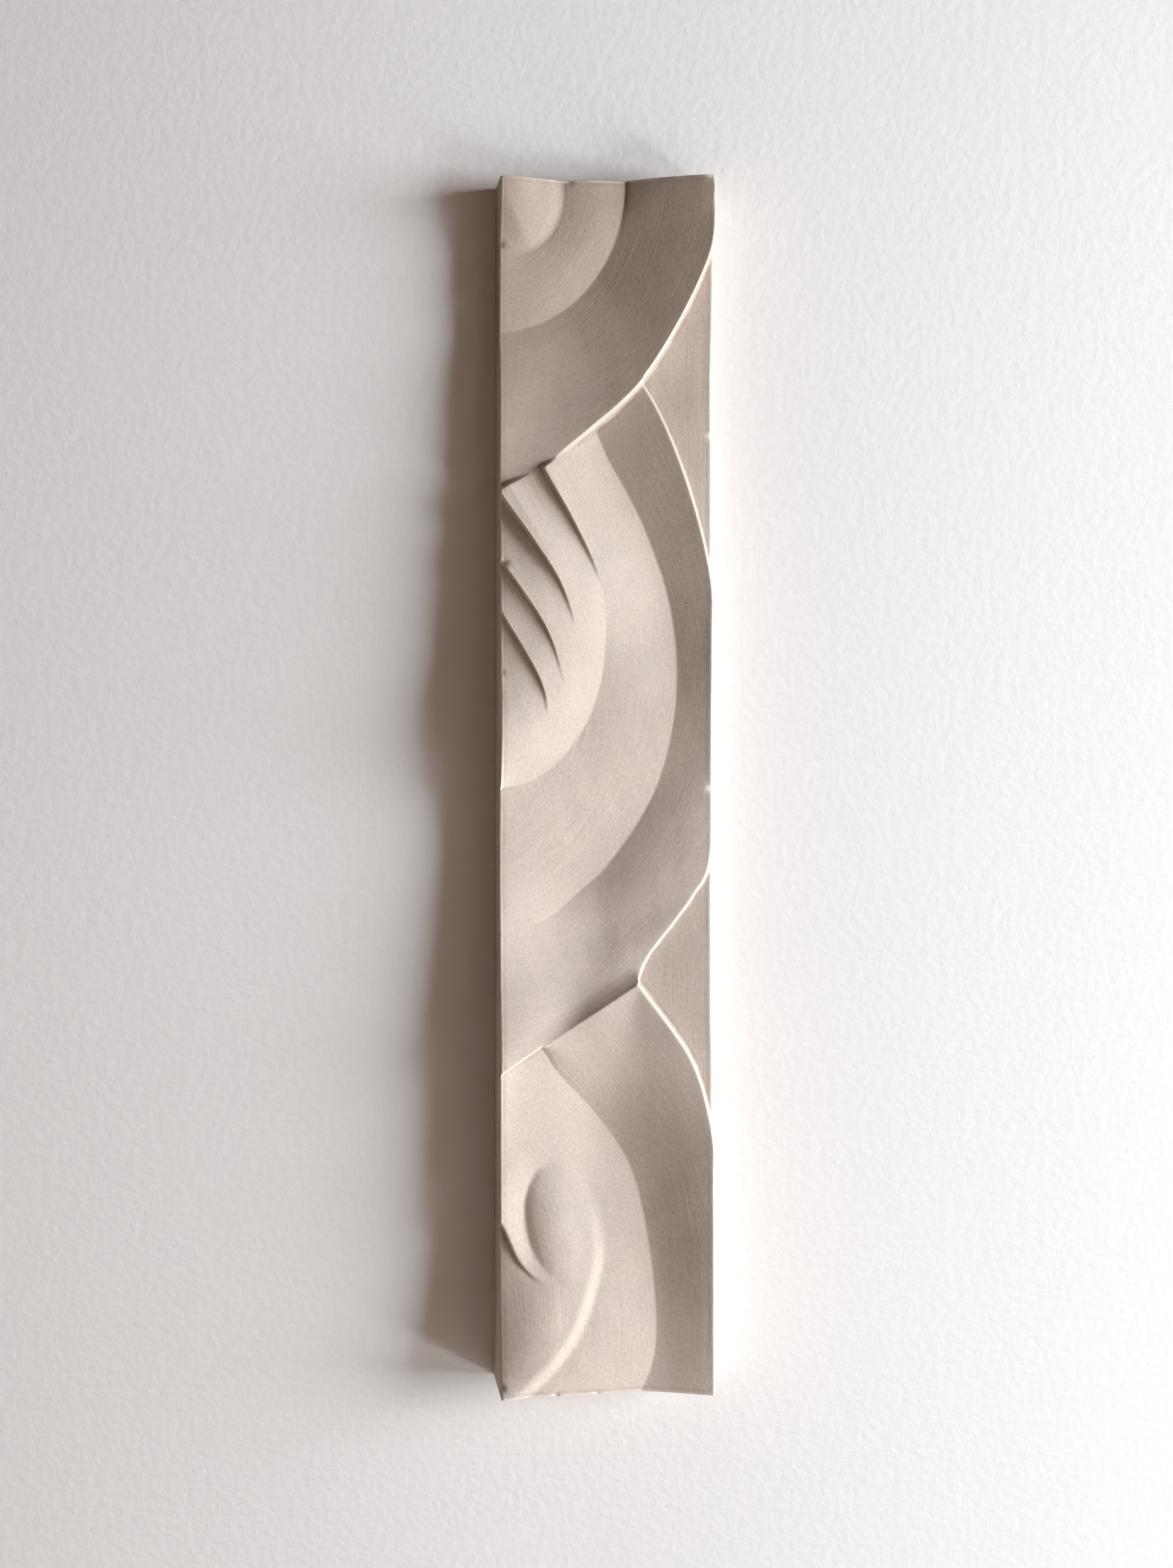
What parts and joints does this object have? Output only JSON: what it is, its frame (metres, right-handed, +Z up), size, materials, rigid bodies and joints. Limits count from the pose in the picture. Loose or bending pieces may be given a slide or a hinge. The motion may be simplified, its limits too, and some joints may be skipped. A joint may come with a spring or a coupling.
{
  "type": "wall relief panel",
  "caption": "Tall, slim cast wall panel with a flat back and an abstract relief of three overlapping fan forms on its front.",
  "frame": {"origin": "middle of the flat back, on the wall's surface", "axes": "+Z up along the panel's height, +Y out of the flat back into the wall, +X to the right as seen from the carved front, which faces -Y"},
  "size_m": [0.1, 0.0346, 0.57],
  "materials": {
    "plaster": "matte"
  },
  "bodies": {
    "root": {"relief_panel": "plaster"}
  },
  "joints": []
}
